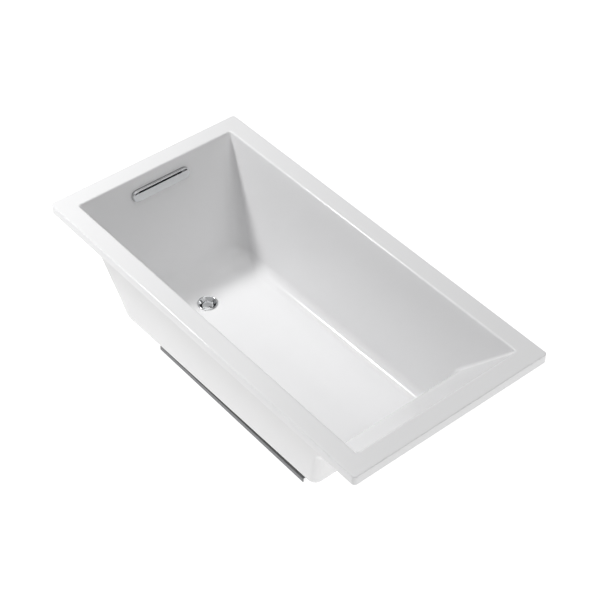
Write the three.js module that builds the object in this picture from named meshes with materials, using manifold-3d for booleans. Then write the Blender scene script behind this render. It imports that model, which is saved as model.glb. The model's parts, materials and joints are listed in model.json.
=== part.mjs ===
// Drop-in bathtub: thermoformed acrylic basin with a flat deck rim, base board on two
// steel rails, toe-touch drain and slotted overflow. Millimetres, +Z up, ground at z = 0.
// The drain end points to -X and the sloping backrest to +X.
import * as THREE from 'three';
import Module from 'manifold-3d';
import { mergeVertices } from 'three/addons/utils/BufferGeometryUtils.js';

const wasm = await Module();
wasm.setup();

// ---- driving dimensions ----------------------------------------------------------------
const HEIGHT = 483;
const LENGTH = 1524;
const WIDTH = 762;
const SKIN = 6;
const LIP_DROP = 34;
const OUTER_CORNER = 13;
const OUTER_EDGE = 4;
const LIP_EDGE = 1.5;
const RIM_EDGE = 7;
const GAP = 0.3;

const DRAIN_END_X = -697;
const BACK_END_X = 698;
const OPENING_HALF_WIDTH = 314;
const SIDE_SLOPE = 0.133;
const DRAIN_END_SLOPE = 0.294;
const BACKREST_SLOPE = 0.905;
const LUMBAR_SLOPE = 0.258;
const LUMBAR_DEPTH = 217;
const LUMBAR_RADIUS = 90;
const FLOOR_DEPTH = 442;
const FLOOR_FALL = 0.0188;
const FALL_STARTS = 150;
const SIDE_COVE = 42;
const DRAIN_END_COVE = 85;
const BACK_COVE = 55;
const CORNER_AT_RIM = 10;
const DRAIN_CORNER_GROWTH = 0.108;
const BACK_CORNER_GROWTH = 0.03;
const CORNER_STEPS = 8;
const COVE_STEPS = 7;
const EDGE_STEPS = 4;

const DRAIN_X = -438;
const SUMP_RADIUS = 46;
const SUMP_DEPTH = 1.5;
const DRAIN_HOLE_RADIUS = 31;
const FLANGE_RADIUS = 36.5;
const STOPPER_RADIUS = 19.7;

const OVERFLOW_DEPTH = 62;
const OVERFLOW_LENGTH = 235;
const OVERFLOW_HEIGHT = 40;
const OVERFLOW_RISE = 10;
const SLIT_BAND = 5;
const SLIT_HEIGHT = 8;
const WALL_SLOT_LENGTH = 200;
const WALL_SLOT_HEIGHT = 24;
const PIPE_X = -690;
const PIPE_RADIUS = 19;
const PIPE_WALL = 2;
const SOCKET_RADIUS = 23.5;
const WASTE_Z = 25.5;
const SOCKET_TOP_Z = 323;
const SOCKET_LENGTH = 34;
const WASHER_THICK = 3;
const NUT_WALL = 4;
const NUT_SIDES = 12;
const TEE_TOP_Z = 76;
const SHOE_COLLAR_X = -590;
const SHOE_RADIUS = 36;

const RAIL_HEIGHT = 16.7;
const RAIL_WIDTH = 30;
const RAIL_WALL = 3;
const RAIL_OUTER_Y = 238;
const BASE_START_X = -392;
const BASE_END_X = 368;
const BOARD_HALF_WIDTH = 226;
const RAIL_SCREWS = 4;

const acrylic = look('#f3f3f2', 0.18, 0);
const board = look('#e8e6e0', 0.7, 0);
const plywood = look('#c9a878', 0.75, 0);
const railSteel = look('#3c3e40', 0.5, 0.6);
const zinc = look('#a9adb0', 0.4, 0.9);
const chrome = look('#d9dcdf', 0.08, 1);
const rubber = look('#1d1d1e', 0.85, 0);
const pipePlastic = look('#232427', 0.45, 0);
const brass = look('#b9954f', 0.35, 0.9);

const group = new THREE.Group();
group.name = 'bathtub';

function look(colour, roughness, metalness) {
  return new THREE.MeshStandardMaterial({ color: colour, roughness, metalness });
}

// ---- solid helpers ---------------------------------------------------------------------
function toSolid(geometry) {
  const bare = geometry.clone();
  bare.deleteAttribute('normal');
  bare.deleteAttribute('uv');
  const welded = mergeVertices(bare, 1e-4);
  const vertProperties = new Float32Array(welded.attributes.position.array);
  const triVerts = new Uint32Array(welded.index.array);
  return new wasm.Manifold(new wasm.Mesh({ numProp: 3, vertProperties, triVerts }));
}

function addPart(name, solid, material) {
  const mesh = solid.getMesh();
  const geometry = new THREE.BufferGeometry();
  geometry.setAttribute('position', new THREE.BufferAttribute(new Float32Array(mesh.vertProperties), 3));
  geometry.setIndex(new THREE.BufferAttribute(new Uint32Array(mesh.triVerts), 1));
  geometry.computeVertexNormals();
  const part = new THREE.Mesh(geometry, material);
  part.name = name;
  group.add(part);
}

function box(x0, x1, y0, y1, z0, z1) {
  const geometry = new THREE.BoxGeometry(x1 - x0, y1 - y0, z1 - z0);
  geometry.translate((x0 + x1) / 2, (y0 + y1) / 2, (z0 + z1) / 2);
  return toSolid(geometry);
}

function rodZ(radius, z0, z1, x, y = 0, steps = 32) {
  const geometry = new THREE.CylinderGeometry(radius, radius, z1 - z0, steps);
  geometry.rotateX(Math.PI / 2);
  geometry.translate(x, y, (z0 + z1) / 2);
  return toSolid(geometry);
}

function rodX(radius, x0, x1, z, y = 0, steps = 32) {
  const geometry = new THREE.CylinderGeometry(radius, radius, x1 - x0, steps);
  geometry.rotateZ(Math.PI / 2);
  geometry.translate((x0 + x1) / 2, y, z);
  return toSolid(geometry);
}

function ringZ(outer, inner, z0, z1, x, y = 0, steps = 32) {
  return rodZ(outer, z0, z1, x, y, steps).subtract(rodZ(inner, z0 - 1, z1 + 1, x, y, 32));
}

function ringX(outer, inner, x0, x1, z, steps = 32) {
  return rodX(outer, x0, x1, z, 0, steps).subtract(rodX(inner, x0 - 1, x1 + 1, z));
}

// A turned piece: profile is a closed loop of [radius, height] pairs about a vertical axis.
function turned(profile, x, z, steps = 40) {
  const points = profile.map(([r, h]) => new THREE.Vector2(r, h));
  const geometry = new THREE.LatheGeometry(points, steps);
  geometry.rotateX(Math.PI / 2);
  geometry.translate(x, 0, z);
  return toSolid(geometry);
}

// ---- basin wall profiles: {h, d} is plan distance outward and depth below the rim top -----
function rimEdge(h0, slope) {
  const turn = Math.PI / 2 - Math.atan(slope);
  const centre = h0 - slope * RIM_EDGE + RIM_EDGE * Math.hypot(1, slope);
  const points = [];
  for (let i = 0; i <= EDGE_STEPS; i += 1) {
    const a = (turn * i) / EDGE_STEPS;
    points.push({ h: centre - RIM_EDGE * Math.sin(a), d: RIM_EDGE * (1 - Math.cos(a)) });
  }
  return points;
}

function cove(hAt, slope, radius) {
  const tilt = Math.atan(slope);
  const centreD = FLOOR_DEPTH - radius;
  const centreH = hAt(centreD) - radius * Math.hypot(1, slope);
  const points = [];
  for (let i = 0; i <= COVE_STEPS; i += 1) {
    const a = tilt + ((Math.PI / 2 - tilt) * i) / COVE_STEPS;
    const nh = Math.cos(a);
    const nd = Math.sin(a);
    points.push({ h: centreH + radius * nh, d: centreD + radius * nd, nh, nd });
  }
  return points;
}

function straightWall(h0, slope, depths, radius) {
  const hAt = (d) => h0 - slope * d;
  const long = Math.hypot(1, slope);
  const points = depths.map((d) => ({ h: hAt(d), d, nh: 1 / long, nd: slope / long }));
  return points.concat(cove(hAt, slope, radius));
}

function backrestWall() {
  const upper = Math.atan(BACKREST_SLOPE);
  const lower = Math.atan(LUMBAR_SLOPE);
  const middle = (upper + lower) / 2;
  const reach = LUMBAR_RADIUS / Math.cos((upper - lower) / 2);
  const kneeH = BACK_END_X - BACKREST_SLOPE * LUMBAR_DEPTH;
  const centreH = kneeH + reach * Math.cos(middle);
  const centreD = LUMBAR_DEPTH + reach * Math.sin(middle);
  const points = [];
  for (const d of [24, 70, 120, 165]) {
    points.push({ h: BACK_END_X - BACKREST_SLOPE * d, d, nh: Math.cos(upper), nd: Math.sin(upper) });
  }
  for (let i = 0; i <= EDGE_STEPS; i += 1) {
    const a = upper + ((lower - upper) * i) / EDGE_STEPS;
    const nh = Math.cos(a);
    const nd = Math.sin(a);
    points.push({ h: centreH - LUMBAR_RADIUS * nh, d: centreD - LUMBAR_RADIUS * nd, nh, nd });
  }
  const lumbarAt = (d) => kneeH - LUMBAR_SLOPE * (d - LUMBAR_DEPTH);
  for (const d of [290, 345]) {
    points.push({ h: lumbarAt(d), d, nh: Math.cos(lower), nd: Math.sin(lower) });
  }
  return points.concat(cove(lumbarAt, LUMBAR_SLOPE, BACK_COVE));
}

const backWall = backrestWall();
const wallDepths = backWall.slice(0, backWall.length - COVE_STEPS - 1).map((p) => p.d);
const sideWall = straightWall(OPENING_HALF_WIDTH, SIDE_SLOPE, wallDepths, SIDE_COVE);
const drainWall = straightWall(-DRAIN_END_X, DRAIN_END_SLOPE, wallDepths, DRAIN_END_COVE);

// The floor falls towards the drain; the fall fades out up the walls.
function fallAt(x, d) {
  const t = Math.min(1, Math.max(0, (d - FALL_STARTS) / (FLOOR_DEPTH - FALL_STARTS)));
  return FLOOR_FALL * (x - DRAIN_X) * t * t * (3 - 2 * t);
}

// Plan radii of the basin's corners at one depth; the drain end's open out towards the floor.
function basinCorners(d, skin = 0) {
  const depth = Math.min(d, FLOOR_DEPTH - SIDE_COVE);
  return {
    drain: CORNER_AT_RIM + DRAIN_CORNER_GROWTH * depth + skin,
    back: CORNER_AT_RIM + BACK_CORNER_GROWTH * depth + skin,
  };
}

// One closed rounded-rectangle ring through the three wall points.
function ring(drain, back, side, radii) {
  const corners = [
    { x: back.h, y: side.h, first: back, second: side, radius: radii.back },
    { x: -drain.h, y: side.h, first: side, second: drain, radius: radii.drain },
    { x: -drain.h, y: -side.h, first: drain, second: side, radius: radii.drain },
    { x: back.h, y: -side.h, first: side, second: back, radius: radii.back },
  ];
  return corners.flatMap((corner, quarter) => cornerPoints(corner, quarter));
}

function cornerPoints({ x, y, first, second, radius }, quarter) {
  const cx = x - Math.sign(x) * radius;
  const cy = y - Math.sign(y) * radius;
  return Array.from({ length: CORNER_STEPS + 1 }, (_, i) => {
    const share = i / CORNER_STEPS;
    const a = ((quarter + share) * Math.PI) / 2;
    const blend = share * share * (3 - 2 * share);
    const d = first.d * (1 - blend) + second.d * blend;
    const px = cx + radius * Math.cos(a);
    return new THREE.Vector3(px, cy + radius * Math.sin(a), HEIGHT - d + fallAt(px, d));
  });
}

function plainRing(inset, d, radius) {
  const at = (size) => ({ h: size / 2 - inset, d });
  return ring(at(LENGTH), at(LENGTH), at(WIDTH), { drain: radius, back: radius });
}

function shellRings() {
  const rings = [];
  for (let i = sideWall.length - 1; i >= 0; i -= 1) {
    rings.push(ring(drainWall[i], backWall[i], sideWall[i], basinCorners(sideWall[i].d)));
  }
  const drainEdge = rimEdge(-DRAIN_END_X, DRAIN_END_SLOPE);
  const backEdge = rimEdge(BACK_END_X, BACKREST_SLOPE);
  const sideEdge = rimEdge(OPENING_HALF_WIDTH, SIDE_SLOPE);
  for (let i = EDGE_STEPS; i >= 0; i -= 1) {
    const corners = basinCorners(0, 1 + EDGE_STEPS - i);
    rings.push(ring(drainEdge[i], backEdge[i], sideEdge[i], corners));
  }
  for (let i = 0; i <= 3; i += 1) {
    const a = (Math.PI / 2) * (i / 3);
    const inset = OUTER_EDGE * (1 - Math.sin(a));
    rings.push(plainRing(inset, OUTER_EDGE * (1 - Math.cos(a)), OUTER_CORNER - inset));
  }
  rings.push(plainRing(0, LIP_DROP - LIP_EDGE, OUTER_CORNER));
  rings.push(plainRing(LIP_EDGE, LIP_DROP, OUTER_CORNER - LIP_EDGE));
  rings.push(plainRing(SKIN - LIP_EDGE, LIP_DROP, OUTER_CORNER - SKIN + LIP_EDGE));
  rings.push(plainRing(SKIN, LIP_DROP - LIP_EDGE, OUTER_CORNER - SKIN));
  rings.push(plainRing(SKIN, SKIN, OUTER_CORNER - SKIN));
  const under = (h0, slope) => ({ h: h0 - slope * SKIN + SKIN * Math.hypot(1, slope), d: SKIN });
  const underDrain = under(-DRAIN_END_X, DRAIN_END_SLOPE);
  const underBack = under(BACK_END_X, BACKREST_SLOPE);
  const underSide = under(OPENING_HALF_WIDTH, SIDE_SLOPE);
  rings.push(ring(underDrain, underBack, underSide, basinCorners(SKIN, SKIN)));
  const outside = (p) => ({ h: p.h + SKIN * p.nh, d: p.d + SKIN * p.nd });
  for (let i = 0; i < sideWall.length; i += 1) {
    const corners = basinCorners(sideWall[i].d, SKIN);
    rings.push(ring(outside(drainWall[i]), outside(backWall[i]), outside(sideWall[i]), corners));
  }
  return rings;
}

// Closes a stack of equal-length rings into one body, with a point in the middle of each end.
function loft(rings) {
  const count = rings[0].length;
  const vertices = rings.flat();
  const first = vertices.length;
  vertices.push(middleOf(rings[0]), middleOf(rings[rings.length - 1]));
  const faces = [];
  for (let r = 0; r + 1 < rings.length; r += 1) {
    for (let i = 0; i < count; i += 1) {
      const a = r * count + i;
      const b = r * count + ((i + 1) % count);
      faces.push(a, b + count, b, a, a + count, b + count);
    }
  }
  const last = (rings.length - 1) * count;
  for (let i = 0; i < count; i += 1) {
    const next = (i + 1) % count;
    faces.push(first, i, next);
    faces.push(first + 1, last + next, last + i);
  }
  const geometry = new THREE.BufferGeometry();
  const position = new Float32Array(vertices.flatMap((v) => [v.x, v.y, v.z]));
  geometry.setAttribute('position', new THREE.BufferAttribute(position, 3));
  geometry.setIndex(faces);
  return geometry;
}

function middleOf(points) {
  const box3 = new THREE.Box3().setFromPoints(points);
  const centre = box3.getCenter(new THREE.Vector3());
  const depth = HEIGHT - points[0].z + fallAt(points[0].x, FLOOR_DEPTH);
  centre.z = HEIGHT - depth + fallAt(centre.x, FLOOR_DEPTH);
  return centre;
}

// ---- overflow, built flat in (x = along the wall, y = up the wall, z = out) and then set ----
const overflowTilt = Math.atan(DRAIN_END_SLOPE);

function stadiumShape(length, height, steps = 10) {
  const shape = new THREE.Shape();
  const r = height / 2;
  const straight = length / 2 - r;
  for (let i = 0; i <= steps; i += 1) {
    const a = -Math.PI / 2 + (Math.PI * i) / steps;
    const method = i === 0 ? 'moveTo' : 'lineTo';
    shape[method](straight + r * Math.cos(a), r * Math.sin(a));
  }
  for (let i = 0; i <= steps; i += 1) {
    const a = Math.PI / 2 + (Math.PI * i) / steps;
    shape.lineTo(-straight + r * Math.cos(a), r * Math.sin(a));
  }
  return shape;
}

function slab(shape, from, to, lift = 0) {
  const geometry = new THREE.ExtrudeGeometry(shape, { depth: to - from, bevelEnabled: false });
  geometry.translate(0, lift, from);
  return toSolid(geometry);
}

// Sets a flat-built overflow piece against the sloping drain-end wall.
function onDrainWall(solid) {
  const up = new THREE.Vector3(-Math.sin(overflowTilt), 0, Math.cos(overflowTilt));
  const out = new THREE.Vector3(Math.cos(overflowTilt), 0, Math.sin(overflowTilt));
  const along = new THREE.Vector3().crossVectors(up, out);
  const matrix = new THREE.Matrix4().makeBasis(along, up, out);
  const x = DRAIN_END_X + DRAIN_END_SLOPE * OVERFLOW_DEPTH;
  matrix.setPosition(x, 0, HEIGHT - OVERFLOW_DEPTH);
  return solid.transform(matrix.elements);
}

function funnelShape(inset) {
  const top = WALL_SLOT_LENGTH / 2 + 12 - inset;
  const low = SOCKET_RADIUS - inset;
  const shape = new THREE.Shape();
  shape.moveTo(-top, 18 - inset);
  shape.lineTo(-top, -22);
  shape.lineTo(-low, -84);
  shape.lineTo(-low, -112 + inset);
  shape.lineTo(low, -112 + inset);
  shape.lineTo(low, -84);
  shape.lineTo(top, -22);
  shape.lineTo(top, 18 - inset);
  shape.closePath();
  return shape;
}

const GASKET_FRONT = 1.2;
const OVERFLOW_SCREW_Y = -6;
const OVERFLOW_SCREW_REACH = WALL_SLOT_LENGTH / 2 - 16;
const REAR_FACE = -SKIN - GAP;
const BODY_FRONT = REAR_FACE - 3 - GAP;
const wallSlot = () => stadiumShape(WALL_SLOT_LENGTH, WALL_SLOT_HEIGHT);
const wallFlange = () => stadiumShape(WALL_SLOT_LENGTH + 30, WALL_SLOT_HEIGHT + 22);

function overflowTrim() {
  const face = slab(stadiumShape(OVERFLOW_LENGTH, OVERFLOW_HEIGHT), GASKET_FRONT + GAP, OVERFLOW_RISE);
  const pocket = slab(stadiumShape(OVERFLOW_LENGTH - 6, OVERFLOW_HEIGHT - 6), 0, OVERFLOW_RISE - 3);
  const inner = stadiumShape(OVERFLOW_LENGTH - 2 * SLIT_BAND, OVERFLOW_HEIGHT - 2 * SLIT_BAND);
  const slitLow = OVERFLOW_HEIGHT / 2 - SLIT_BAND - SLIT_HEIGHT;
  const strip = box(-OVERFLOW_LENGTH, OVERFLOW_LENGTH, slitLow, OVERFLOW_HEIGHT, -1, OVERFLOW_RISE + 2);
  const slit = slab(inner, 0, OVERFLOW_RISE + 1).intersect(strip);
  return face.subtract(pocket).subtract(slit);
}

// A short rod through the wall at one of the two overflow screws.
function atScrew(side, radius, from, to) {
  const geometry = new THREE.CylinderGeometry(radius, radius, to - from, 16);
  geometry.rotateX(Math.PI / 2);
  geometry.translate(side * OVERFLOW_SCREW_REACH, OVERFLOW_SCREW_Y, (from + to) / 2);
  return toSolid(geometry);
}

function overflowBody() {
  const depth = 34;
  const wall = 3;
  const low = SOCKET_TOP_Z - SOCKET_LENGTH;
  const shaped = slab(funnelShape(0), BODY_FRONT - depth, BODY_FRONT)
    .add(slab(wallFlange(), BODY_FRONT - 4, BODY_FRONT));
  const hollow = slab(funnelShape(wall), BODY_FRONT - depth + wall, BODY_FRONT - wall)
    .add(slab(wallSlot(), BODY_FRONT - 4, BODY_FRONT + 1));
  let body = onDrainWall(shaped).add(rodZ(SOCKET_RADIUS, low, SOCKET_TOP_Z, PIPE_X));
  body = body.subtract(onDrainWall(hollow));
  body = body.subtract(rodZ(PIPE_RADIUS - PIPE_WALL, low - 1, SOCKET_TOP_Z - 4, PIPE_X));
  body = body.subtract(rodZ(PIPE_RADIUS + GAP, low - 1, SOCKET_TOP_Z - 12, PIPE_X));
  for (const side of [-1, 1]) {
    body = body.add(onDrainWall(atScrew(side, 5.5, BODY_FRONT - depth + 2, BODY_FRONT - wall)));
    body = body.subtract(onDrainWall(atScrew(side, 2.4, -30, 30)));
  }
  return body;
}

function overflowBracket() {
  const plate = slab(stadiumShape(OVERFLOW_LENGTH - 15, OVERFLOW_HEIGHT - 13), GASKET_FRONT + GAP, 4.5);
  let bracket = plate.subtract(slab(stadiumShape(WALL_SLOT_LENGTH - 20, 9), 0, 6, 6.5));
  for (const side of [-1, 1]) {
    bracket = bracket.subtract(atScrew(side, 2.4, -10, 10));
  }
  return bracket;
}

function overflowScrew(side) {
  const profile = [[0, -24], [2.1, -24], [2.1, 4.8], [4.2, 4.8], [4.2, 6.2], [0, 6.2]];
  const points = profile.map(([r, h]) => new THREE.Vector2(r, h));
  const screw = new THREE.LatheGeometry(points, 16);
  screw.rotateX(Math.PI / 2);
  screw.translate(side * OVERFLOW_SCREW_REACH, OVERFLOW_SCREW_Y, 0);
  return toSolid(screw);
}

function addOverflow() {
  const frontRing = slab(stadiumShape(OVERFLOW_LENGTH + 1, OVERFLOW_HEIGHT + 1), GAP, GASKET_FRONT);
  const rearRing = slab(wallFlange(), REAR_FACE - 3, REAR_FACE);
  addPart('overflow_trim', onDrainWall(overflowTrim()), chrome);
  addPart('overflow_front_gasket', onDrainWall(frontRing.subtract(slab(wallSlot(), 0, 2))), rubber);
  const rearGasket = rearRing.subtract(slab(wallSlot(), REAR_FACE - 4, REAR_FACE + 1));
  addPart('overflow_rear_gasket', onDrainWall(rearGasket), rubber);
  addPart('overflow_body', overflowBody(), pipePlastic);
  addPart('overflow_bracket', onDrainWall(overflowBracket()), zinc);
  addPart('overflow_screw_far', onDrainWall(overflowScrew(-1)), zinc);
  addPart('overflow_screw_near', onDrainWall(overflowScrew(1)), zinc);

  const socketEnd = SOCKET_TOP_Z - SOCKET_LENGTH;
  addWasherZ('overflow_washer', socketEnd - GAP - WASHER_THICK);
  addNutZ('overflow_nut', socketEnd - 10, socketEnd + 10, socketEnd - 4, 1);
}

function addWasherZ(name, zLow) {
  const washer = ringZ(SOCKET_RADIUS - 0.5, PIPE_RADIUS + GAP, zLow, zLow + WASHER_THICK, PIPE_X);
  addPart(name, washer, rubber);
}

function addWasherX(name, xLow) {
  const washer = ringX(SOCKET_RADIUS - 1, PIPE_RADIUS + GAP, xLow, xLow + WASHER_THICK, WASTE_Z);
  addPart(name, washer, rubber);
}

// A compression nut closed over the end of a socket; the wide bore opens towards the socket.
function addNutZ(name, zLow, zTop, shoulder, opens) {
  const bore = opens > 0 ? [shoulder, zTop + 1] : [zLow - 1, shoulder];
  const nut = ringZ(SOCKET_RADIUS + NUT_WALL, PIPE_RADIUS + GAP, zLow, zTop, PIPE_X, 0, NUT_SIDES)
    .subtract(rodZ(SOCKET_RADIUS + GAP, bore[0], bore[1], PIPE_X));
  addPart(name, nut, pipePlastic);
}

// ---- waste plumbing -----------------------------------------------------------------------
const sumpZ = HEIGHT - FLOOR_DEPTH - SUMP_DEPTH;
const shellUnderDrain = HEIGHT - FLOOR_DEPTH - SKIN - FLOOR_FALL * FLANGE_RADIUS;

function wasteTee(armEnd) {
  const low = 2;
  const bore = PIPE_RADIUS - PIPE_WALL;
  let tee = rodZ(SOCKET_RADIUS, low, TEE_TOP_Z, PIPE_X);
  tee = tee.add(rodX(SOCKET_RADIUS, PIPE_X, armEnd, WASTE_Z));
  tee = tee.subtract(rodZ(bore, low - 1, TEE_TOP_Z + 1, PIPE_X));
  tee = tee.subtract(rodX(bore, PIPE_X, armEnd + 1, WASTE_Z));
  tee = tee.subtract(rodZ(PIPE_RADIUS + GAP, TEE_TOP_Z - 20, TEE_TOP_Z + 1, PIPE_X));
  return tee.subtract(rodX(PIPE_RADIUS + GAP, armEnd - 14, armEnd + 1, WASTE_Z));
}

function addWaste() {
  const armEnd = PIPE_X + 44;
  const bore = PIPE_RADIUS - PIPE_WALL;
  const pipeTop = SOCKET_TOP_Z - SOCKET_LENGTH + 20;
  const upright = ringZ(PIPE_RADIUS, bore, TEE_TOP_Z - 19, pipeTop, PIPE_X);
  const run = ringX(PIPE_RADIUS, bore, armEnd - 13, SHOE_COLLAR_X + 13, WASTE_Z);
  addPart('waste_tee', wasteTee(armEnd), pipePlastic);
  addPart('overflow_pipe', upright, pipePlastic);
  addWasherZ('tee_top_washer', TEE_TOP_Z + GAP);
  addNutZ('tee_top_nut', TEE_TOP_Z - 13, TEE_TOP_Z + 10, TEE_TOP_Z + 4, -1);
  addWasherX('tee_side_washer', armEnd + GAP);
  addPart('waste_pipe', run, pipePlastic);
  addWasherX('shoe_washer', SHOE_COLLAR_X - GAP - WASHER_THICK);
  addPart('drain_shoe', drainShoe(), pipePlastic);
  const gasketTop = shellUnderDrain - GAP;
  const gasket = ringZ(SHOE_RADIUS - 1, DRAIN_HOLE_RADIUS, shellUnderDrain - 2, gasketTop, DRAIN_X);
  addPart('shoe_gasket', gasket, rubber);
}

// A round cup under the drain with a flat passage to a pipe collar.
function drainShoe() {
  const top = shellUnderDrain - 2 - GAP;
  const low = 2;
  const armHalf = 26;
  const armTop = 28;
  const wall = 3;
  const collarEnd = SHOE_COLLAR_X + 24;
  let shoe = rodZ(SHOE_RADIUS, low, top, DRAIN_X);
  shoe = shoe.add(box(collarEnd - 8, DRAIN_X, -armHalf, armHalf, low, armTop));
  shoe = shoe.add(rodX(SOCKET_RADIUS, SHOE_COLLAR_X, collarEnd, WASTE_Z));
  shoe = shoe.subtract(rodZ(26, low + wall, top + 1, DRAIN_X));
  shoe = shoe.subtract(rodZ(DRAIN_HOLE_RADIUS, top - 5, top + 1, DRAIN_X));
  const passage = [-armHalf + wall, armHalf - wall, low + wall, armTop - wall];
  shoe = shoe.subtract(box(collarEnd - 6, DRAIN_X, ...passage));
  shoe = shoe.subtract(rodX(PIPE_RADIUS - PIPE_WALL, SHOE_COLLAR_X - 1, collarEnd - 4, WASTE_Z));
  shoe = shoe.subtract(box(collarEnd - 8, collarEnd, -14, 14, low + 5, armTop - wall));
  return shoe.subtract(rodX(PIPE_RADIUS + GAP, SHOE_COLLAR_X - 1, SHOE_COLLAR_X + 14, WASTE_Z));
}

// ---- toe-touch drain ------------------------------------------------------------------------
function addDrain() {
  const gasket = 0.8;
  const ringSeal = ringZ(FLANGE_RADIUS - 1.5, DRAIN_HOLE_RADIUS, sumpZ + GAP, sumpZ + gasket, DRAIN_X);
  addPart('flange_gasket', ringSeal, rubber);
  const seat = gasket + GAP;
  const flangeProfile = [
    [25.5, -29], [25.5, -10], [30.3, -4.5], [30.3, seat], [FLANGE_RADIUS, seat],
    [FLANGE_RADIUS, seat + 0.8], [FLANGE_RADIUS - 1.6, seat + 2], [FLANGE_RADIUS - 3.6, seat + 2.2],
    [FLANGE_RADIUS - 6.5, seat + 0.8], [27.8, -4], [24.4, -9.3], [22.3, -12], [22.3, -29], [25.5, -29],
  ];
  let flange = turned(flangeProfile, DRAIN_X, sumpZ);
  const hubTop = sumpZ - 23;
  const hubLow = sumpZ - 27;
  flange = flange.add(box(DRAIN_X - 23, DRAIN_X + 23, -2.5, 2.5, hubLow, hubTop));
  flange = flange.add(box(DRAIN_X - 2.5, DRAIN_X + 2.5, -23, 23, hubLow, hubTop));
  flange = flange.add(rodZ(7, hubLow, hubTop, DRAIN_X));
  flange = flange.subtract(rodZ(4 + GAP, hubLow - 1, hubTop + 1, DRAIN_X));
  addPart('drain_flange', flange, chrome);

  const cartridge = turned([
    [0, -34], [4, -34], [4, -22.6], [5.6, -22.6], [5.6, -20], [2.3, -20], [2.3, -33], [0, -33],
  ], DRAIN_X, sumpZ, 24);
  addPart('toe_touch_cartridge', cartridge, brass);

  const stem = turned([
    [0, -32.5], [2, -32.5], [2, -15.8], [11, -15.8], [11, -13.6], [3, -13.6], [3, -11.8], [0, -11.8],
  ], DRAIN_X, sumpZ, 24);
  addPart('stopper_stem', stem, brass);

  const sealRing = turned([
    [9, -13.3], [20.6, -13.3], [21.6, -12.4], [21.6, -11.2], [9, -11.2], [9, -13.3],
  ], DRAIN_X, sumpZ);
  addPart('stopper_seal', sealRing, rubber);

  const cap = turned([
    [0, -11.5], [3.3, -11.5], [3.3, -13.3], [8.7, -13.3], [8.7, -10.9], [STOPPER_RADIUS - 0.7, -10.9],
    [STOPPER_RADIUS, -10.2], [STOPPER_RADIUS, -9.2], [STOPPER_RADIUS - 1.2, -8.2], [13, -7.5], [0, -7.1],
  ], DRAIN_X, sumpZ);
  addPart('stopper_cap', cap, chrome);
}

// ---- base: tapered board on two channel rails -------------------------------------------------
const BOARD_LOW = RAIL_HEIGHT + GAP;
const BOARD_TAPER_HALF_WIDTH = 188;
const RAIL_MID = RAIL_OUTER_Y - RAIL_WIDTH / 2 - 2;
const SCREW_END_INSET = 60;

function railScrewXs() {
  const span = BASE_END_X - BASE_START_X - 2 * SCREW_END_INSET;
  const step = span / (RAIL_SCREWS - 1);
  return Array.from({ length: RAIL_SCREWS }, (_, i) => BASE_START_X + SCREW_END_INSET + step * i);
}

function baseBoard() {
  const topAt = (x) => HEIGHT - FLOOR_DEPTH - SKIN - 0.5 + FLOOR_FALL * (x - DRAIN_X);
  const side = new THREE.Shape();
  side.moveTo(BASE_START_X, BOARD_LOW);
  side.lineTo(BASE_END_X, BOARD_LOW);
  side.lineTo(BASE_END_X, topAt(BASE_END_X));
  side.lineTo(BASE_START_X, topAt(BASE_START_X));
  side.closePath();
  const blank = new THREE.ExtrudeGeometry(side, { depth: 2 * BOARD_TAPER_HALF_WIDTH, bevelEnabled: false });
  blank.rotateX(Math.PI / 2);
  blank.translate(0, BOARD_TAPER_HALF_WIDTH, 0);
  const half = BOARD_HALF_WIDTH;
  const wings = box(BASE_START_X, BASE_END_X, -half, half, BOARD_LOW, topAt(BASE_START_X));
  let solid = toSolid(blank).add(wings);
  for (const y of [-RAIL_MID, RAIL_MID]) {
    for (const x of railScrewXs()) {
      solid = solid.subtract(rodZ(2.5, BOARD_LOW - 1, BOARD_LOW + 13, x, y, 12));
    }
  }
  return solid;
}

function baseRail(sign) {
  const inner = RAIL_OUTER_Y - RAIL_WIDTH;
  const ys = [sign * inner, sign * RAIL_OUTER_Y].sort((a, b) => a - b);
  const channel = [ys[0] + RAIL_WALL, ys[1] - RAIL_WALL, -1, RAIL_HEIGHT - RAIL_WALL];
  let rail = box(BASE_START_X, BASE_END_X, ys[0], ys[1], 0, RAIL_HEIGHT);
  rail = rail.subtract(box(BASE_START_X - 1, BASE_END_X + 1, ...channel));
  for (const x of railScrewXs()) {
    rail = rail.subtract(rodZ(2.6, 0, RAIL_HEIGHT + 1, x, sign * RAIL_MID, 12));
  }
  return rail;
}

function railScrew(x, y) {
  const profile = [[0, -4], [4.2, -4], [4.2, -1.4], [2.2, -GAP], [2.2, 13], [0, 15]];
  return turned(profile, x, RAIL_HEIGHT - RAIL_WALL, 12).translate(0, y, 0);
}

function addBase() {
  addPart('base_board', baseBoard(), board);
  for (const [name, sign] of [['near', -1], ['far', 1]]) {
    addPart(`base_rail_${name}`, baseRail(sign), railSteel);
    railScrewXs().forEach((x, i) => {
      addPart(`rail_screw_${name}_${i + 1}`, railScrew(x, sign * RAIL_MID), zinc);
    });
  }
}

// ---- stiffening battens bonded under the deck rim ----------------------------------------------
function addBattens() {
  const top = HEIGHT - SKIN - GAP;
  const low = top - 12;
  const outerX = LENGTH / 2 - SKIN - 2;
  const outerY = WIDTH / 2 - SKIN - 2;
  const wide = 44;
  const cornerGap = 2;
  const innerY = outerY - wide;
  addPart('rim_batten_near', box(-outerX + 6, outerX - 6, -outerY, -innerY, low, top), plywood);
  addPart('rim_batten_far', box(-outerX + 6, outerX - 6, innerY, outerY, low, top), plywood);
  const across = innerY - cornerGap;
  addPart('rim_batten_drain_end', box(-outerX, -outerX + wide, -across, across, low, top), plywood);
  addPart('rim_batten_back_end', box(outerX - wide, outerX, -across, across, low, top), plywood);
}

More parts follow.
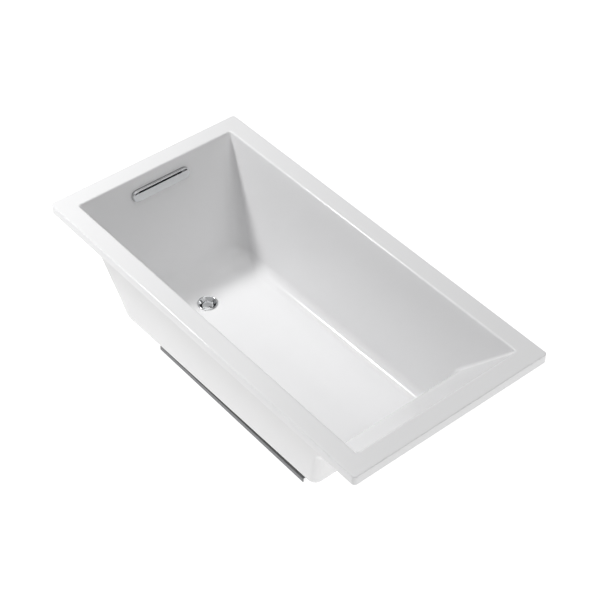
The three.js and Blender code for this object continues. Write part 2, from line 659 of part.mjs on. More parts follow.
// ---- assembly --------------------------------------------------------------------------------
function addShell() {
  let shell = toSolid(loft(shellRings()));
  shell = shell.subtract(rodZ(SUMP_RADIUS, sumpZ, sumpZ + 12, DRAIN_X, 0, 48));
  shell = shell.subtract(rodZ(DRAIN_HOLE_RADIUS, 10, sumpZ + 10, DRAIN_X));
  const slot = slab(stadiumShape(WALL_SLOT_LENGTH, WALL_SLOT_HEIGHT), -SKIN - 3, 5);
  shell = shell.subtract(onDrainWall(slot));
  addPart('bath_shell', shell, acrylic);
}

addShell();
addBattens();
addBase();
addDrain();
addWaste();
addOverflow();

export default group;
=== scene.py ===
"""Drop-in bathtub: finished surfaces, materials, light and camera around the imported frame.

Metres, +Z up, floor at z = 0. The drain end is at -X and the backrest at +X.
"""

import json
import math

import bmesh
import bpy
from mathutils import Matrix, Vector


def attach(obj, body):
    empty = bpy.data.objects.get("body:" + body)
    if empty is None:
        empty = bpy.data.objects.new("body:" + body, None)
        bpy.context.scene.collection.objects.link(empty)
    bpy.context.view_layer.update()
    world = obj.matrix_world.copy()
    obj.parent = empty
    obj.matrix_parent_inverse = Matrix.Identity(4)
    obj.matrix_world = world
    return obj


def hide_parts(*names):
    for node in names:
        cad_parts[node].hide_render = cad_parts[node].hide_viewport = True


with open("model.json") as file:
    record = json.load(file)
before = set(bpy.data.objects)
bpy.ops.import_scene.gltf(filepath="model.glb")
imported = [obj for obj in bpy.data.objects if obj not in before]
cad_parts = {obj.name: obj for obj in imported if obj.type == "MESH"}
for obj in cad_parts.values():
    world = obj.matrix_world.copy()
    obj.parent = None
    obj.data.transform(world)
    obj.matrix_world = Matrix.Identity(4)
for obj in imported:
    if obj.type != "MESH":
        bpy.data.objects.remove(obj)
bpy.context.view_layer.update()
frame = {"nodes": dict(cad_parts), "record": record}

MM = 0.001

# ---- tub dimensions, millimetres, the same as the CAD model's -------------------------------
HEIGHT = 483.0
LENGTH = 1524.0
WIDTH = 762.0
SKIN = 6.0
LIP_DROP = 34.0
OUTER_CORNER = 13.0
OUTER_EDGE = 4.0
RIM_EDGE = 7.0

DRAIN_END_X = -697.0
BACK_END_X = 698.0
OPENING_HALF_WIDTH = 314.0
SIDE_SLOPE = 0.133
DRAIN_END_SLOPE = 0.294
BACKREST_SLOPE = 0.905
LUMBAR_SLOPE = 0.258
LUMBAR_DEPTH = 217.0
LUMBAR_RADIUS = 90.0
FLOOR_DEPTH = 442.0
FLOOR_FALL = 0.0188
FALL_STARTS = 150.0
SIDE_COVE = 42.0
DRAIN_END_COVE = 85.0
BACK_COVE = 55.0
CORNER_AT_RIM = 10.0
DRAIN_CORNER_GROWTH = 0.108
BACK_CORNER_GROWTH = 0.03
CORNER_STEPS = 14
COVE_STEPS = 14
EDGE_STEPS = 6
KNEE_STEPS = 10
LIP_EDGE = 1.5
LIP_EDGE_STEPS = 4
INNER_LIP_EDGE = 0.6
BACKREST_DEPTHS = (12, 24, 50, 80, 110, 140, 165, 180)
LUMBAR_DEPTHS = (262, 290, 320, 350, 370)
FLOOR_RING_INSETS = (6.0, 24.0)
FLAT_RING_STEP = 4.0
EDGE_CORNER_START = 1
EDGE_CORNER_STEP = 0.7
DECK_CORNER_GROWTH = 6

DRAIN_X = -438.0
SUMP_FOOT_RADIUS = 44.5
SUMP_TOP_RADIUS = 48.5
SUMP_DEPTH = 1.5
DRAIN_HOLE_RADIUS = 31.0
FLANGE_RADIUS = 36.5
STOPPER_RADIUS = 19.7
SUMP_Z = HEIGHT - FLOOR_DEPTH - SUMP_DEPTH

OVERFLOW_DEPTH = 62.0
OVERFLOW_LENGTH = 235.0
OVERFLOW_HEIGHT = 40.0
OVERFLOW_RISE = 10.0
SLIT_BAND = 5.0
SLIT_HEIGHT = 8.0
WALL_SLOT_LENGTH = 200.0
WALL_SLOT_HEIGHT = 24.0
TRIM_STANDOFF = 1.5
TRIM_WALL = 3.0
TRIM_BEVEL = 1.2
SLIT_BEVEL = 0.5
CUTTER_REACH = 5.0


# ---- mesh helpers ---------------------------------------------------------------------------
def new_object(name, mesh):
    obj = bpy.data.objects.new(name, mesh)
    bpy.context.scene.collection.objects.link(obj)
    return obj


def mesh_from(name, points, faces):
    mesh = bpy.data.meshes.new(name)
    mesh.from_pydata([p * MM for p in points], [], faces)
    mesh.validate()
    return new_object(name, mesh)


def bake_modifiers(obj):
    """Replaces an object's mesh by what its modifiers make of it."""
    depsgraph = bpy.context.evaluated_depsgraph_get()
    mesh = bpy.data.meshes.new_from_object(obj.evaluated_get(depsgraph))
    obj.modifiers.clear()
    obj.data = mesh


def cut(obj, tool):
    """Cuts a closed tool out of an object and removes the tool."""
    modifier = obj.modifiers.new("cut", "BOOLEAN")
    modifier.operation = "DIFFERENCE"
    modifier.solver = "EXACT"
    modifier.object = tool
    bake_modifiers(obj)
    bpy.data.objects.remove(tool)


def smooth(obj, angle=35.0):
    """Smooth shading that keeps flats flat and edges over the angle sharp."""
    mesh = obj.data
    mesh.polygons.foreach_set("use_smooth", [True] * len(mesh.polygons))
    mesh.set_sharp_from_angle(angle=math.radians(angle))
    modifier = obj.modifiers.new("weighted", "WEIGHTED_NORMAL")
    modifier.keep_sharp = True
    modifier.weight = 80
    bake_modifiers(obj)


def turned(name, profile, steps=96):
    """A closed profile of (radius, height) points turned about the vertical axis."""
    points = []
    faces = []
    rings = []
    for radius, height in profile:
        if radius < 1e-6:
            rings.append([len(points)] * steps)
            points.append(Vector((0, 0, height)))
            continue
        start = len(points)
        for i in range(steps):
            a = 2 * math.pi * i / steps
            points.append(Vector((radius * math.cos(a), radius * math.sin(a), height)))
        rings.append(list(range(start, start + steps)))
    for low, high in zip(rings, rings[1:] + rings[:1]):
        for i in range(steps):
            j = (i + 1) % steps
            corners = [low[i], low[j], high[j], high[i]]
            unique = list(dict.fromkeys(corners))
            if len(unique) > 2:
                faces.append(unique)
    obj = mesh_from(name, points, faces)
    fix_normals(obj)
    return obj


def fix_normals(obj):
    """Turns every face of a closed mesh outward."""
    bm = bmesh.new()
    bm.from_mesh(obj.data)
    bmesh.ops.recalc_face_normals(bm, faces=bm.faces)
    bm.to_mesh(obj.data)
    bm.free()


# ---- basin wall profiles: (plan distance outward, depth below the rim top, outward normal) ---
def rim_edge(h0, slope):
    """The rounded edge where the deck rim turns down into a wall."""
    turn = math.pi / 2 - math.atan(slope)
    centre = h0 - slope * RIM_EDGE + RIM_EDGE * math.hypot(1, slope)
    points = []
    for i in range(EDGE_STEPS + 1):
        a = turn * i / EDGE_STEPS
        h = centre - RIM_EDGE * math.sin(a)
        points.append((h, RIM_EDGE * (1 - math.cos(a)), 0.0, 0.0))
    return points


def cove(h_at, slope, radius):
    """The rounded foot of a wall, tangent to the wall and to the floor."""
    tilt = math.atan(slope)
    centre_d = FLOOR_DEPTH - radius
    centre_h = h_at(centre_d) - radius * math.hypot(1, slope)
    points = []
    for i in range(COVE_STEPS + 1):
        a = tilt + (math.pi / 2 - tilt) * i / COVE_STEPS
        nh, nd = math.cos(a), math.sin(a)
        points.append((centre_h + radius * nh, centre_d + radius * nd, nh, nd))
    return points


def straight_wall(h0, slope, depths, radius):
    """A wall of one slope, from the rim's edge down to its cove."""
    long = math.hypot(1, slope)
    points = [(h0 - slope * d, d, 1 / long, slope / long) for d in depths]
    return points + cove(lambda d: h0 - slope * d, slope, radius)


def backrest_wall():
    """The sloping backrest, bending over a rounded knee into a steeper lumbar wall."""
    upper, lower = math.atan(BACKREST_SLOPE), math.atan(LUMBAR_SLOPE)
    middle = (upper + lower) / 2
    reach = LUMBAR_RADIUS / math.cos((upper - lower) / 2)
    knee_h = BACK_END_X - BACKREST_SLOPE * LUMBAR_DEPTH
    centre_h = knee_h + reach * math.cos(middle)
    centre_d = LUMBAR_DEPTH + reach * math.sin(middle)
    points = []
    for d in BACKREST_DEPTHS:
        points.append((BACK_END_X - BACKREST_SLOPE * d, d, math.cos(upper), math.sin(upper)))
    for i in range(KNEE_STEPS + 1):
        a = upper + (lower - upper) * i / KNEE_STEPS
        nh, nd = math.cos(a), math.sin(a)
        points.append((centre_h - LUMBAR_RADIUS * nh, centre_d - LUMBAR_RADIUS * nd, nh, nd))

    def lumbar_at(d):
        return knee_h - LUMBAR_SLOPE * (d - LUMBAR_DEPTH)

    for d in LUMBAR_DEPTHS:
        points.append((lumbar_at(d), d, math.cos(lower), math.sin(lower)))
    return points + cove(lumbar_at, LUMBAR_SLOPE, BACK_COVE)


BACK_WALL = backrest_wall()
WALL_DEPTHS = [p[1] for p in BACK_WALL[: -COVE_STEPS - 1]]
SIDE_WALL = straight_wall(OPENING_HALF_WIDTH, SIDE_SLOPE, WALL_DEPTHS, SIDE_COVE)
DRAIN_WALL = straight_wall(-DRAIN_END_X, DRAIN_END_SLOPE, WALL_DEPTHS, DRAIN_END_COVE)


def fall_at(x, d):
    """How far the floor's fall lifts a point at x above the drain's level."""
    t = min(1.0, max(0.0, (d - FALL_STARTS) / (FLOOR_DEPTH - FALL_STARTS)))
    return FLOOR_FALL * (x - DRAIN_X) * t * t * (3 - 2 * t)


def basin_corners(d, skin=0.0):
    """Plan radii of the basin's drain-end and backrest-end corners at one depth."""
    depth = min(d, FLOOR_DEPTH - SIDE_COVE)
    drain = CORNER_AT_RIM + DRAIN_CORNER_GROWTH * depth + skin
    return drain, CORNER_AT_RIM + BACK_CORNER_GROWTH * depth + skin


def ring(drain, back, side, radii):
    """One closed rounded-rectangle ring through the three wall points."""
    drain_radius, back_radius = radii
    corners = (
        (back[0], side[0], back, side, back_radius),
        (-drain[0], side[0], side, drain, drain_radius),
        (-drain[0], -side[0], drain, side, drain_radius),
        (back[0], -side[0], side, back, back_radius),
    )
    points = []
    for quarter, (x0, y0, first, second, radius) in enumerate(corners):
        cx = x0 - math.copysign(radius, x0)
        cy = y0 - math.copysign(radius, y0)
        for i in range(CORNER_STEPS + 1):
            share = i / CORNER_STEPS
            a = (quarter + share) * math.pi / 2
            blend = share * share * (3 - 2 * share)
            d = first[1] * (1 - blend) + second[1] * blend
            x = cx + radius * math.cos(a)
            points.append(Vector((x, cy + radius * math.sin(a), HEIGHT - d + fall_at(x, d))))
    return points


def plain_ring(inset, d, radius):
    """A ring round the rim or the lip, a distance in from the tub's outline."""
    end, side = (LENGTH / 2 - inset, d), (WIDTH / 2 - inset, d)
    return ring(end, end, side, (radius, radius))


def inset_floor_ring(inset, walls, d, skin=0.0):
    """A ring on the flat of the floor, a step inside the foot of the coves."""
    drain, back, side = ((p[0] - inset, d) for p in walls)
    return ring(drain, back, side, basin_corners(d, skin))


def shell_rings():
    """All rings of the skin: floor, basin walls, deck, lip, then back down the outside."""
    rings = []
    floor_walls = (DRAIN_WALL[-1], BACK_WALL[-1], SIDE_WALL[-1])
    for inset in reversed(FLOOR_RING_INSETS):
        rings.append(inset_floor_ring(inset, floor_walls, FLOOR_DEPTH))
    for drain, back, side in reversed(list(zip(DRAIN_WALL, BACK_WALL, SIDE_WALL))):
        rings.append(ring(drain, back, side, basin_corners(side[1])))
    drain_edge = rim_edge(-DRAIN_END_X, DRAIN_END_SLOPE)
    back_edge = rim_edge(BACK_END_X, BACKREST_SLOPE)
    side_edge = rim_edge(OPENING_HALF_WIDTH, SIDE_SLOPE)
    for i in reversed(range(EDGE_STEPS + 1)):
        corners = basin_corners(0, EDGE_CORNER_START + (EDGE_STEPS - i) * EDGE_CORNER_STEP)
        rings.append(ring(drain_edge[i], back_edge[i], side_edge[i], corners))
    edge = [(p[0][0] + FLAT_RING_STEP, 0.0) for p in (drain_edge, back_edge, side_edge)]
    rings.append(ring(*edge, basin_corners(0, DECK_CORNER_GROWTH)))
    rings.append(plain_ring(OUTER_EDGE + FLAT_RING_STEP, 0.0, OUTER_CORNER - OUTER_EDGE))
    for i in range(EDGE_STEPS + 1):
        a = math.pi / 2 * i / EDGE_STEPS
        inset = OUTER_EDGE * (1 - math.sin(a))
        rings.append(plain_ring(inset, OUTER_EDGE * (1 - math.cos(a)), OUTER_CORNER - inset))
    rings.append(plain_ring(0.0, OUTER_EDGE + 3, OUTER_CORNER))
    rings.append(plain_ring(0.0, LIP_DROP - LIP_EDGE - 2, OUTER_CORNER))
    for i in range(LIP_EDGE_STEPS + 1):
        a = math.pi / 2 * i / LIP_EDGE_STEPS
        inset = LIP_EDGE * (1 - math.cos(a))
        depth = LIP_DROP - LIP_EDGE * (1 - math.sin(a))
        rings.append(plain_ring(inset, depth, OUTER_CORNER - inset))
    inner_corner = OUTER_CORNER - SKIN
    rings.append(plain_ring(SKIN - INNER_LIP_EDGE, LIP_DROP, inner_corner + INNER_LIP_EDGE))
    rings.append(plain_ring(SKIN, LIP_DROP - INNER_LIP_EDGE, inner_corner))
    rings.append(plain_ring(SKIN, SKIN, inner_corner))

    def under(h0, slope):
        return (h0 - slope * SKIN + SKIN * math.hypot(1, slope), SKIN)

    rings.append(
        ring(
            under(-DRAIN_END_X, DRAIN_END_SLOPE),
            under(BACK_END_X, BACKREST_SLOPE),
            under(OPENING_HALF_WIDTH, SIDE_SLOPE),
            basin_corners(SKIN, SKIN),
        )
    )

    def outside(p):
        return (p[0] + SKIN * p[2], p[1] + SKIN * p[3])

    for drain, back, side in zip(DRAIN_WALL, BACK_WALL, SIDE_WALL):
        corners = basin_corners(side[1], SKIN)
        rings.append(ring(outside(drain), outside(back), outside(side), corners))
    under_walls = [outside(p) for p in floor_walls]
    for inset in FLOOR_RING_INSETS:
        rings.append(inset_floor_ring(inset, under_walls, FLOOR_DEPTH + SKIN, SKIN))
    return rings


def make_shell():
    """The acrylic basin and rim: one loft, with sump, drain hole and overflow slot cut."""
    rings = shell_rings()
    count = len(rings[0])
    points = [p for one in rings for p in one]
    faces = []
    for r in range(len(rings) - 1):
        for i in range(count):
            j = (i + 1) % count
            faces.append((r * count + i, (r + 1) * count + i, (r + 1) * count + j, r * count + j))
    faces.append(tuple(range(count)))
    faces.append(tuple(range(len(points) - 1, len(points) - count - 1, -1)))
    shell = mesh_from("tub_shell", points, faces)
    fix_normals(shell)

    high, wide = 12, SUMP_TOP_RADIUS + 1.5
    sump = turned(
        "sump_tool",
        [(0, 0), (SUMP_FOOT_RADIUS, 0), (SUMP_TOP_RADIUS, SUMP_DEPTH), (wide, high), (0, high)],
    )
    place_at_drain(sump)
    cut(shell, sump)
    hole = turned("hole_tool", cylinder(DRAIN_HOLE_RADIUS, -30, 20))
    place_at_drain(hole)
    cut(shell, hole)
    slot_outline = stadium(WALL_SLOT_LENGTH, WALL_SLOT_HEIGHT)
    slot = plate("slot_tool", slot_outline, -SKIN - 4, 6)
    place(slot, drain_wall_matrix())
    cut(shell, slot)
    smooth(shell, 40)
    return shell


# ---- overflow -------------------------------------------------------------------------------
def stadium(length, height, steps=24):
    """The outline of a bar with half-round ends."""
    r = height / 2
    straight = length / 2 - r
    points = []
    for side in (1, -1):
        for i in range(steps + 1):
            a = -math.pi / 2 * side + math.pi * i / steps
            points.append((side * straight + r * math.cos(a), r * math.sin(a)))
    return points


def plate(name, outline, low, high, bevel=0.0, bevel_steps=4):
    """An upright-walled plate, with its top edge rounded over when bevel is given."""
    layers = [(0.0, low)]
    for i in range(bevel_steps + 1):
        a = math.pi / 2 * i / bevel_steps
        layers.append((bevel * (1 - math.cos(a)), high - bevel * (1 - math.sin(a))))
        if bevel == 0:
            break
    count = len(outline)
    points = []
    for inset, height in layers:
        for x, y in inset_outline(outline, inset):
            points.append(Vector((x, y, height)))
    faces = []
    for r in range(len(layers) - 1):
        for i in range(count):
            j = (i + 1) % count
            faces.append((r * count + i, r * count + j, (r + 1) * count + j, (r + 1) * count + i))
    faces.append(tuple(reversed(range(count))))
    faces.append(tuple(range(len(points) - count, len(points))))
    obj = mesh_from(name, points, faces)
    fix_normals(obj)
    return obj


def inset_outline(outline, inset):
    """Moves each point of a convex outline inward along its normal."""
    if inset == 0:
        return list(outline)
    count = len(outline)
    moved = []
    for i, (x, y) in enumerate(outline):
        ax, ay = outline[i - 1]
        bx, by = outline[(i + 1) % count]
        tx, ty = bx - ax, by - ay
        long = math.hypot(tx, ty) or 1.0
        moved.append((x - inset * ty / long, y + inset * tx / long))
    return moved


def drain_wall_matrix():
    """Stands a flat-built piece (x along, y up, z out) on the drain-end wall."""
    tilt = math.atan(DRAIN_END_SLOPE)
    up = Vector((-math.sin(tilt), 0, math.cos(tilt)))
    out = Vector((math.cos(tilt), 0, math.sin(tilt)))
    along = up.cross(out)
    matrix = Matrix((along, up, out)).transposed().to_4x4()
    x = DRAIN_END_X + DRAIN_END_SLOPE * OVERFLOW_DEPTH
    matrix.translation = Vector((x, 0, HEIGHT - OVERFLOW_DEPTH)) * MM
    return matrix


def place(obj, matrix):
    obj.data.transform(matrix)
    obj.data.update()


def place_at_drain(obj):
    """Moves a piece built about the origin to the middle of the sump's floor."""
    place(obj, Matrix.Translation(Vector((DRAIN_X, 0, SUMP_Z)) * MM))


def cylinder(radius, low, high):
    """The profile of a plain cylinder, for turned()."""
    return [(0, low), (radius, low), (radius, high), (0, high)]


def make_overflow_trim():
    """The chrome overflow cover: a hollow stadium with a slit below its upper band."""
    cover_outline = stadium(OVERFLOW_LENGTH, OVERFLOW_HEIGHT)
    face = plate("overflow_cover", cover_outline, TRIM_STANDOFF, OVERFLOW_RISE, TRIM_BEVEL, 6)
    inside = stadium(OVERFLOW_LENGTH - 2 * TRIM_WALL, OVERFLOW_HEIGHT - 2 * TRIM_WALL)
    pocket = plate("pocket_tool", inside, -CUTTER_REACH, OVERFLOW_RISE - TRIM_WALL)
    cut(face, pocket)
    low = OVERFLOW_HEIGHT / 2 - SLIT_BAND - SLIT_HEIGHT
    outline = []
    for x, y in stadium(OVERFLOW_LENGTH - 2 * SLIT_BAND, OVERFLOW_HEIGHT - 2 * SLIT_BAND, 48):
        if y >= low:
            outline.append((x, y))
    slit = plate("slit_tool", outline, -CUTTER_REACH, OVERFLOW_RISE + CUTTER_REACH)
    cut(face, slit)
    bevel = face.modifiers.new("edges", "BEVEL")
    bevel.width = SLIT_BEVEL * MM
    bevel.segments = 3
    bevel.limit_method = "ANGLE"
    bevel.angle_limit = math.radians(40)
    bake_modifiers(face)
    place(face, drain_wall_matrix())
    smooth(face, 50)
    return face


# ---- drain ----------------------------------------------------------------------------------
def rounded(profile, radius, steps=4):
    """Rounds the corners of a closed (radius, height) profile."""
    points = []
    count = len(profile)
    for i, here in enumerate(profile):
        before, after = Vector(profile[i - 1]), Vector(profile[(i + 1) % count])
        here = Vector(here)
        a, b = (before - here), (after - here)
        if here.x < 1e-6 or a.length < 1e-6 or b.length < 1e-6:
            points.append(tuple(here))
            continue
        reach = min(radius, a.length * 0.45, b.length * 0.45)
        start, end = here + a.normalized() * reach, here + b.normalized() * reach
        for k in range(steps + 1):
            t = k / steps
            points.append(tuple(start.lerp(here, t).lerp(here.lerp(end, t), t)))
    return points


def make_drain_flange():
    """The chrome drain ring with its throat, cross bars and the hub that carries the cartridge."""
    r, seat = FLANGE_RADIUS, 1.1
    bottom, outside, throat = -29, 25.5, 22.3
    profile = [
        (outside, bottom), (outside, -10), (30.3, -4.5), (30.3, seat),
        (r, seat), (r, seat + 0.9), (r - 2.2, seat + 2.2), (r - 5.0, seat + 1.6),
        (28.6, -2.5), (24.4, -9.3), (throat, -12), (throat, bottom),
    ]
    flange = turned("drain_ring", rounded(profile, 1.6), 128)
    bar_length, bar_width, bar_low, bar_high = 23.5, 2.2, -27, -23
    corners = [(-1, -1), (1, -1), (1, 1), (-1, 1)]
    bar = [(x * bar_length, y * bar_width) for x, y in corners]
    for angle in (0, math.pi / 2):
        arm = plate("drain_arm", bar, bar_low, bar_high, 0.8, 3)
        place(arm, Matrix.Rotation(angle, 4, "Z"))
        join(flange, arm)
    cut(flange, turned("hub_hole", cylinder(6, -35, -15), 48))
    hub_inside, hub_outside, hub_high = 4.4, 7.4, -22.8
    hub_profile = [
        (hub_inside, bar_low), (hub_outside, bar_low), (hub_outside, hub_high), (hub_inside, hub_high),
    ]
    join(flange, turned("drain_hub", rounded(hub_profile, 0.5), 48))
    place_at_drain(flange)
    smooth(flange, 40)
    return flange


def join(obj, other):
    """Fuses another closed mesh into an object and removes the other."""
    modifier = obj.modifiers.new("join", "BOOLEAN")
    modifier.operation = "UNION"
    modifier.solver = "EXACT"
    modifier.object = other
    bake_modifiers(obj)
    bpy.data.objects.remove(other)


def make_stopper_cap():
    """The chrome button that a toe presses down and lets up."""
    r = STOPPER_RADIUS
    profile = [
        (0, -11.5), (3.3, -11.5), (3.3, -13.3), (8.7, -13.3), (8.7, -10.9),
        (r - 0.7, -10.9), (r, -10.3), (r, -9.4), (r - 1.0, -8.5), (r - 3.0, -8.1),
        (r - 4.0, -8.2), (r - 5.0, -7.9), (9, -7.4), (0, -7.1),
    ]
    cap = turned("stopper_button", rounded(profile, 0.8), 96)
    place_at_drain(cap)
    smooth(cap, 40)
    return cap


# ---- materials ------------------------------------------------------------------------------
def material(name, colour, other, rough, rough_spread, metallic=0.0, scale=6.0, bump=0.0,
             bump_scale=60.0, stretch=(1, 1, 1), specular=0.5, wear=None):
    """A procedural surface: two-tone mottling, uneven roughness, fine bump and edge wear."""
    made = bpy.data.materials.new(name)
    made.use_nodes = True
    nodes, links = made.node_tree.nodes, made.node_tree.links
    shader = nodes["Principled BSDF"]
    shader.inputs["Metallic"].default_value = metallic
    shader.inputs["Specular IOR Level"].default_value = specular
    where = nodes.new("ShaderNodeTexCoord")
    mapping = nodes.new("ShaderNodeMapping")
    mapping.inputs["Scale"].default_value = stretch
    links.new(where.outputs["Object"], mapping.inputs["Vector"])

    mottle = nodes.new("ShaderNodeTexNoise")
    mottle.inputs["Scale"].default_value = scale
    mottle.inputs["Detail"].default_value = 6
    links.new(mapping.outputs["Vector"], mottle.inputs["Vector"])
    tone = nodes.new("ShaderNodeMix")
    tone.data_type = "RGBA"
    tone.inputs["A"].default_value = (*colour, 1)
    tone.inputs["B"].default_value = (*other, 1)
    links.new(mottle.outputs["Fac"], tone.inputs["Factor"])
    colour_out = tone.outputs["Result"]

    spread = nodes.new("ShaderNodeMapRange")
    spread.inputs["To Min"].default_value = rough - rough_spread
    spread.inputs["To Max"].default_value = rough + rough_spread
    fine = nodes.new("ShaderNodeTexNoise")
    fine.inputs["Scale"].default_value = bump_scale
    fine.inputs["Detail"].default_value = 4
    links.new(mapping.outputs["Vector"], fine.inputs["Vector"])
    links.new(fine.outputs["Fac"], spread.inputs["Value"])
    links.new(spread.outputs["Result"], shader.inputs["Roughness"])

    if wear is not None:
        geometry = nodes.new("ShaderNodeNewGeometry")
        edge = nodes.new("ShaderNodeMapRange")
        edge.inputs["From Min"].default_value = 0.52
        edge.inputs["From Max"].default_value = 0.60
        edge.inputs["To Max"].default_value = 0.6
        links.new(geometry.outputs["Pointiness"], edge.inputs["Value"])
        worn = nodes.new("ShaderNodeMix")
        worn.data_type = "RGBA"
        worn.inputs["B"].default_value = (*wear, 1)
        links.new(edge.outputs["Result"], worn.inputs["Factor"])
        links.new(colour_out, worn.inputs["A"])
        colour_out = worn.outputs["Result"]
    links.new(colour_out, shader.inputs["Base Color"])

    if bump > 0:
        relief = nodes.new("ShaderNodeBump")
        relief.inputs["Strength"].default_value = bump
        relief.inputs["Distance"].default_value = 0.0005
        links.new(fine.outputs["Fac"], relief.inputs["Height"])
        links.new(relief.outputs["Normal"], shader.inputs["Normal"])
    return made


MATERIALS = {
    "acrylic": material("gloss_acrylic", (0.80, 0.80, 0.805), (0.82, 0.82, 0.825), 0.16, 0.02,
                        scale=2.5, bump=0.03, bump_scale=180, specular=0.4),
    "coated_board": material("resin_coated_board", (0.74, 0.73, 0.70), (0.82, 0.81, 0.79), 0.55, 0.12,
                             scale=9, bump=0.5, bump_scale=90),
    "plywood": material("plywood", (0.52, 0.37, 0.22), (0.66, 0.50, 0.32), 0.7, 0.1, scale=14,
                        bump=0.4, bump_scale=120, stretch=(0.12, 1, 3)),
    "rail_steel": material("coated_steel", (0.055, 0.057, 0.06), (0.075, 0.077, 0.08), 0.42, 0.1,
                           metallic=0.4, scale=18, bump=0.25, bump_scale=260, wear=(0.3, 0.3, 0.31)),
    "zinc": material("zinc_plate", (0.55, 0.57, 0.58), (0.68, 0.69, 0.70), 0.35, 0.1, metallic=1.0,
                     scale=60, bump=0.2, bump_scale=300),
    "chrome": material("polished_chrome", (0.70, 0.71, 0.72), (0.74, 0.75, 0.76), 0.09, 0.03,
                       metallic=1.0, scale=30, bump=0.02, bump_scale=400),
    "rubber": material("black_rubber", (0.018, 0.018, 0.019), (0.03, 0.03, 0.031), 0.75, 0.1,
                       scale=40, bump=0.4, bump_scale=400),
    "pipe_plastic": material("pipe_plastic", (0.016, 0.016, 0.018), (0.022, 0.022, 0.024), 0.42, 0.08,
                             scale=20, bump=0.2, bump_scale=160),
    "brass": material("machined_brass", (0.60, 0.45, 0.20), (0.68, 0.53, 0.27), 0.3, 0.08,
                      metallic=1.0, scale=50, bump=0.2, bump_scale=300),
}


def dress(obj, slot):
    obj.data.materials.clear()
    obj.data.materials.append(MATERIALS[slot])


def add_piece(obj, slot, body, *nodes):
    dress(obj, slot)
    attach(obj, body)
    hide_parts(*nodes)


for part in frame["record"]["subparts"]:
    dress(frame["nodes"][part["node"]], part["material_slot"])

add_piece(make_shell(), "acrylic", "tub", "bath_shell")
add_piece(make_overflow_trim(), "chrome", "tub", "overflow_trim")
add_piece(make_drain_flange(), "chrome", "tub", "drain_flange")
add_piece(make_stopper_cap(), "chrome", "stopper", "stopper_cap")


# ---- floor, light and camera ----------------------------------------------------------------
FLOOR_HALF_SIZE = 30.0
FLOOR_WALL = 4.0
FLOOR_WHITE = 0.35
FLOOR_GLOW = 0.87

WORLD_DIM = 0.02
WORLD_BRIGHT = 0.24
WORLD_BRIGHT_TOWARD = (0.55, -0.1, 0.85)

# name, where it stands, where it points, width and depth in metres, watts
LIGHTS = (
    ("key", (-1.98, -1.3, 2.8), (-0.4, 0, 0.3), (0.42, 0.42), 67),
    ("fill", (2.8, 0.5, 2.9), (-0.5, -0.1, 0.2), (2.0, 2.0), 27),
    ("top", (-0.9, 0, 3.9), (0, 0, 0.2), (3.0, 3.0), 41),
)

CAMERA_AT = (2.875, -2.317, 3.383 + HEIGHT * MM)
CAMERA_AZIMUTH = 50.49
CAMERA_ELEVATION = 43.40
CAMERA_LENS = 96.1
CAMERA_SENSOR = 36.0


def make_floor():
    """A pale floor that turns up into a low wall far away, so no view looks past its edge."""
    size = FLOOR_HALF_SIZE
    low = [(-size, -size, 0), (size, -size, 0), (size, size, 0), (-size, size, 0)]
    high = [(x, y, FLOOR_WALL) for x, y, _ in low]
    faces = [(0, 1, 2, 3)] + [(i, (i + 1) % 4, (i + 1) % 4 + 4, i + 4) for i in range(4)]
    mesh = bpy.data.meshes.new("studio_floor")
    mesh.from_pydata(low + high, [], faces)
    floor = new_object("studio_floor", mesh)
    made = bpy.data.materials.new("studio_white")
    made.use_nodes = True
    shader = made.node_tree.nodes["Principled BSDF"]
    shader.inputs["Base Color"].default_value = (FLOOR_WHITE, FLOOR_WHITE, FLOOR_WHITE, 1)
    shader.inputs["Roughness"].default_value = 0.9
    shader.inputs["Specular IOR Level"].default_value = 0.0
    shader.inputs["Emission Color"].default_value = (1, 1, 1, 1)
    shader.inputs["Emission Strength"].default_value = FLOOR_GLOW
    mesh.materials.append(made)


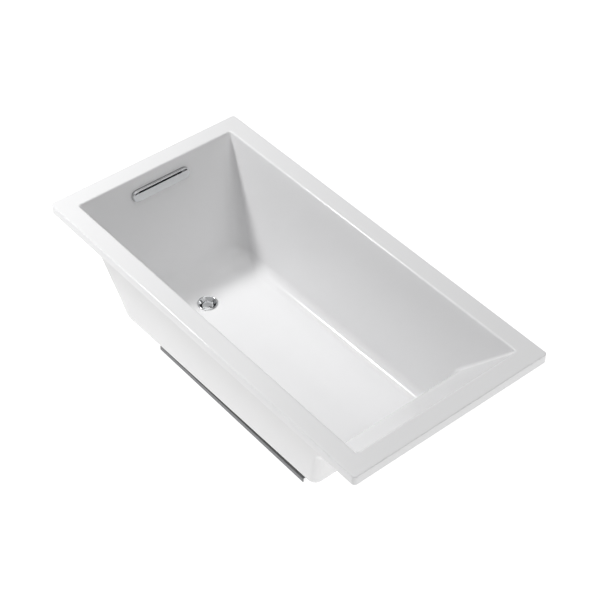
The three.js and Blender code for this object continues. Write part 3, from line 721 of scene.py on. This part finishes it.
def add_area(name, place_at, target, size, power):
    """A rectangular lamp that points at a target."""
    light = bpy.data.lights.new(name, "AREA")
    light.shape = "RECTANGLE"
    light.size, light.size_y = size
    light.energy = power
    lamp = bpy.data.objects.new(name, light)
    bpy.context.scene.collection.objects.link(lamp)
    direction = Vector(target) - Vector(place_at)
    lamp.rotation_euler = direction.to_track_quat("-Z", "Y").to_euler()
    lamp.location = place_at


def make_world():
    """Soft white surroundings, brightest high over the backrest end and dim low at the drain end."""
    world = bpy.data.worlds.new("studio")
    bpy.context.scene.world = world
    world.use_nodes = True
    nodes, links = world.node_tree.nodes, world.node_tree.links
    background = nodes["Background"]
    where = nodes.new("ShaderNodeTexCoord")
    toward = nodes.new("ShaderNodeVectorMath")
    toward.operation = "DOT_PRODUCT"
    toward.inputs[1].default_value = Vector(WORLD_BRIGHT_TOWARD).normalized()
    links.new(where.outputs["Generated"], toward.inputs[0])
    shade = nodes.new("ShaderNodeMapRange")
    shade.inputs["From Min"].default_value = -0.2
    shade.inputs["From Max"].default_value = 1.0
    shade.inputs["To Min"].default_value = WORLD_DIM
    shade.inputs["To Max"].default_value = WORLD_BRIGHT
    links.new(toward.outputs["Value"], shade.inputs["Value"])
    links.new(shade.outputs["Result"], background.inputs["Strength"])
    background.inputs["Color"].default_value = (1, 1, 1, 1)


def make_camera():
    """A long lens looking down at the tub from beyond its backrest end, near side."""
    azimuth, elevation = math.radians(CAMERA_AZIMUTH), math.radians(CAMERA_ELEVATION)
    level = math.cos(elevation)
    back = Vector((math.sin(azimuth) * level, -math.cos(azimuth) * level, math.sin(elevation)))
    right = Vector((math.cos(azimuth), math.sin(azimuth), 0))
    up = back.cross(right)
    matrix = Matrix((right, up, back)).transposed().to_4x4()
    matrix.translation = Vector(CAMERA_AT)
    data = bpy.data.cameras.new("camera")
    data.sensor_width = CAMERA_SENSOR
    data.lens = CAMERA_LENS
    camera = bpy.data.objects.new("camera", data)
    bpy.context.scene.collection.objects.link(camera)
    camera.matrix_world = matrix
    bpy.context.scene.camera = camera


make_floor()
make_world()
for light_row in LIGHTS:
    add_area(*light_row)
make_camera()
bpy.context.scene.view_settings.view_transform = "Standard"
